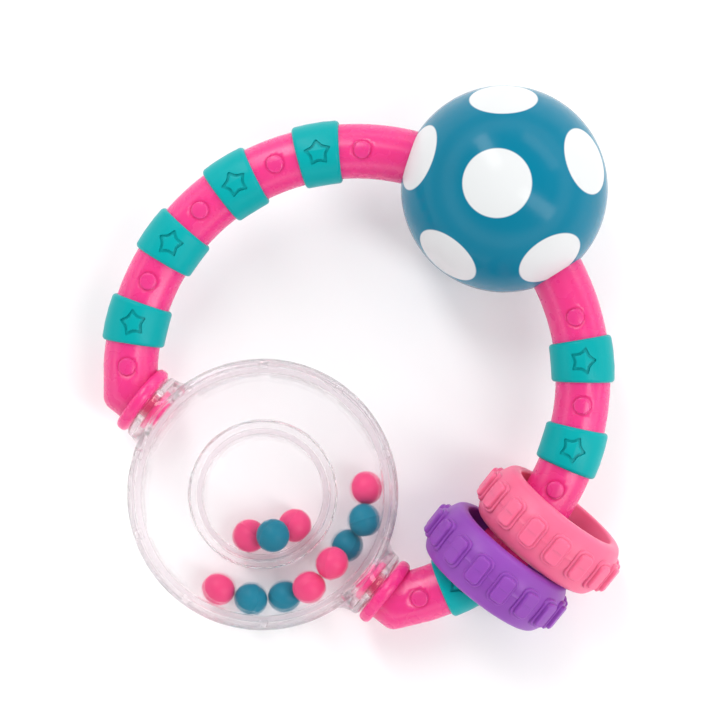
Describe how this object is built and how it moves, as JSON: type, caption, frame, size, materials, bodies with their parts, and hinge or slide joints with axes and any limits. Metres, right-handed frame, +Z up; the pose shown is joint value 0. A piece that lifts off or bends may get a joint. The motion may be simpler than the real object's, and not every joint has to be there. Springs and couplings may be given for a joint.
{
  "type": "baby rattle",
  "caption": "Ring rattle: C-shaped handle with grip bands, dotted ball, clear bead drum that spins between the handle ends, and two loose toothed rings.",
  "frame": {"origin": "middle of the footprint, on the table the rattle lies on", "axes": "+X along the drum spin axis, +Y from the drum towards the ball, +Z up, out of the drum front face"},
  "size_m": [0.1516, 0.1622, 0.0536],
  "materials": {
    "handle_pink": "satin moulded plastic",
    "grip_teal": "soft satin",
    "ball_blue": "smooth, printed with white dots",
    "drum_clear": "clear polished plastic",
    "bead_pink": "satin",
    "bead_blue": "satin",
    "ring_pink": "soft satin",
    "ring_purple": "soft satin"
  },
  "bodies": {
    "handle": {"handle_front_shell": "handle_pink", "handle_back_shell": "handle_pink", "grip_band_left_1": "grip_teal", "grip_band_left_2": "grip_teal", "grip_band_left_3": "grip_teal", "grip_band_left_4": "grip_teal", "grip_band_right_1": "grip_teal", "grip_band_right_2": "grip_teal", "grip_band_right_3": "grip_teal", "grip_band_right_4": "grip_teal", "pivot_plug_right": "handle_pink", "pivot_plug_left": "handle_pink", "ball_front_shell": "ball_blue", "ball_back_shell": "ball_blue"},
    "drum": {"drum_front_shell": "drum_clear", "drum_back_shell": "drum_clear"},
    "purple_ring": {"loose_ring_purple": "ring_purple"},
    "pink_ring": {"loose_ring_pink": "ring_pink"},
    "track_bead_pink_1_body": {"track_bead_pink_1": "bead_pink"},
    "track_bead_blue_1_body": {"track_bead_blue_1": "bead_blue"},
    "track_bead_blue_2_body": {"track_bead_blue_2": "bead_blue"},
    "track_bead_pink_2_body": {"track_bead_pink_2": "bead_pink"},
    "track_bead_pink_3_body": {"track_bead_pink_3": "bead_pink"},
    "track_bead_blue_3_body": {"track_bead_blue_3": "bead_blue"},
    "track_bead_blue_4_body": {"track_bead_blue_4": "bead_blue"},
    "track_bead_pink_4_body": {"track_bead_pink_4": "bead_pink"},
    "chamber_bead_pink_1_body": {"chamber_bead_pink_1": "bead_pink"},
    "chamber_bead_blue_1_body": {"chamber_bead_blue_1": "bead_blue"},
    "chamber_bead_pink_2_body": {"chamber_bead_pink_2": "bead_pink"}
  },
  "joints": [
    {"name": "drum_spin", "type": "hinge", "parent": "handle", "child": "drum", "pos_m": [-0.00858, -0.04626, 0.014], "axis": [1, 0, 0], "continuous": true},
    {"name": "purple_ring_slide", "type": "hinge", "parent": "handle", "child": "purple_ring", "pos_m": [-0.00858, -0.00761, 0.01892], "axis": [0, -0.1263, 0.992], "range_deg": [-2, 28]},
    {"name": "pink_ring_slide", "type": "hinge", "parent": "purple_ring", "child": "pink_ring", "pos_m": [-0.00858, -0.00761, 0.01892], "axis": [0, -0.1263, 0.992], "range_deg": [0, 27]},
    {"name": "track_beads_run", "type": "hinge", "parent": "drum", "child": "track_bead_pink_1_body", "pos_m": [-0.00858, -0.04626, 0.014], "axis": [0, 0, 1], "continuous": true},
    {"name": "track_bead_blue_1_run", "type": "hinge", "parent": "drum", "child": "track_bead_blue_1_body", "pos_m": [-0.00858, -0.04626, 0.014], "axis": [0, 0, 1], "continuous": true},
    {"name": "track_bead_blue_2_run", "type": "hinge", "parent": "drum", "child": "track_bead_blue_2_body", "pos_m": [-0.00858, -0.04626, 0.014], "axis": [0, 0, 1], "continuous": true},
    {"name": "track_bead_pink_2_run", "type": "hinge", "parent": "drum", "child": "track_bead_pink_2_body", "pos_m": [-0.00858, -0.04626, 0.014], "axis": [0, 0, 1], "continuous": true},
    {"name": "track_bead_pink_3_run", "type": "hinge", "parent": "drum", "child": "track_bead_pink_3_body", "pos_m": [-0.00858, -0.04626, 0.014], "axis": [0, 0, 1], "continuous": true},
    {"name": "track_bead_blue_3_run", "type": "hinge", "parent": "drum", "child": "track_bead_blue_3_body", "pos_m": [-0.00858, -0.04626, 0.014], "axis": [0, 0, 1], "continuous": true},
    {"name": "track_bead_blue_4_run", "type": "hinge", "parent": "drum", "child": "track_bead_blue_4_body", "pos_m": [-0.00858, -0.04626, 0.014], "axis": [0, 0, 1], "continuous": true},
    {"name": "track_bead_pink_4_run", "type": "hinge", "parent": "drum", "child": "track_bead_pink_4_body", "pos_m": [-0.00858, -0.04626, 0.014], "axis": [0, 0, 1], "continuous": true},
    {"name": "chamber_beads_run", "type": "hinge", "parent": "drum", "child": "chamber_bead_pink_1_body", "pos_m": [-0.00858, -0.04626, 0.014], "axis": [0, 0, 1], "continuous": true},
    {"name": "chamber_bead_blue_1_run", "type": "hinge", "parent": "drum", "child": "chamber_bead_blue_1_body", "pos_m": [-0.00858, -0.04626, 0.014], "axis": [0, 0, 1], "continuous": true},
    {"name": "chamber_bead_pink_2_run", "type": "hinge", "parent": "drum", "child": "chamber_bead_pink_2_body", "pos_m": [-0.00858, -0.04626, 0.014], "axis": [0, 0, 1], "continuous": true}
  ],
  "couplings": [
    {"joint": "track_bead_blue_1_run", "follows": "track_beads_run", "ratio": 1},
    {"joint": "track_bead_blue_2_run", "follows": "track_beads_run", "ratio": 1},
    {"joint": "track_bead_pink_2_run", "follows": "track_beads_run", "ratio": 1},
    {"joint": "track_bead_pink_3_run", "follows": "track_beads_run", "ratio": 1},
    {"joint": "track_bead_blue_3_run", "follows": "track_beads_run", "ratio": 1},
    {"joint": "track_bead_blue_4_run", "follows": "track_beads_run", "ratio": 1},
    {"joint": "track_bead_pink_4_run", "follows": "track_beads_run", "ratio": 1},
    {"joint": "chamber_bead_blue_1_run", "follows": "chamber_beads_run", "ratio": 1},
    {"joint": "chamber_bead_pink_2_run", "follows": "chamber_beads_run", "ratio": 1}
  ]
}
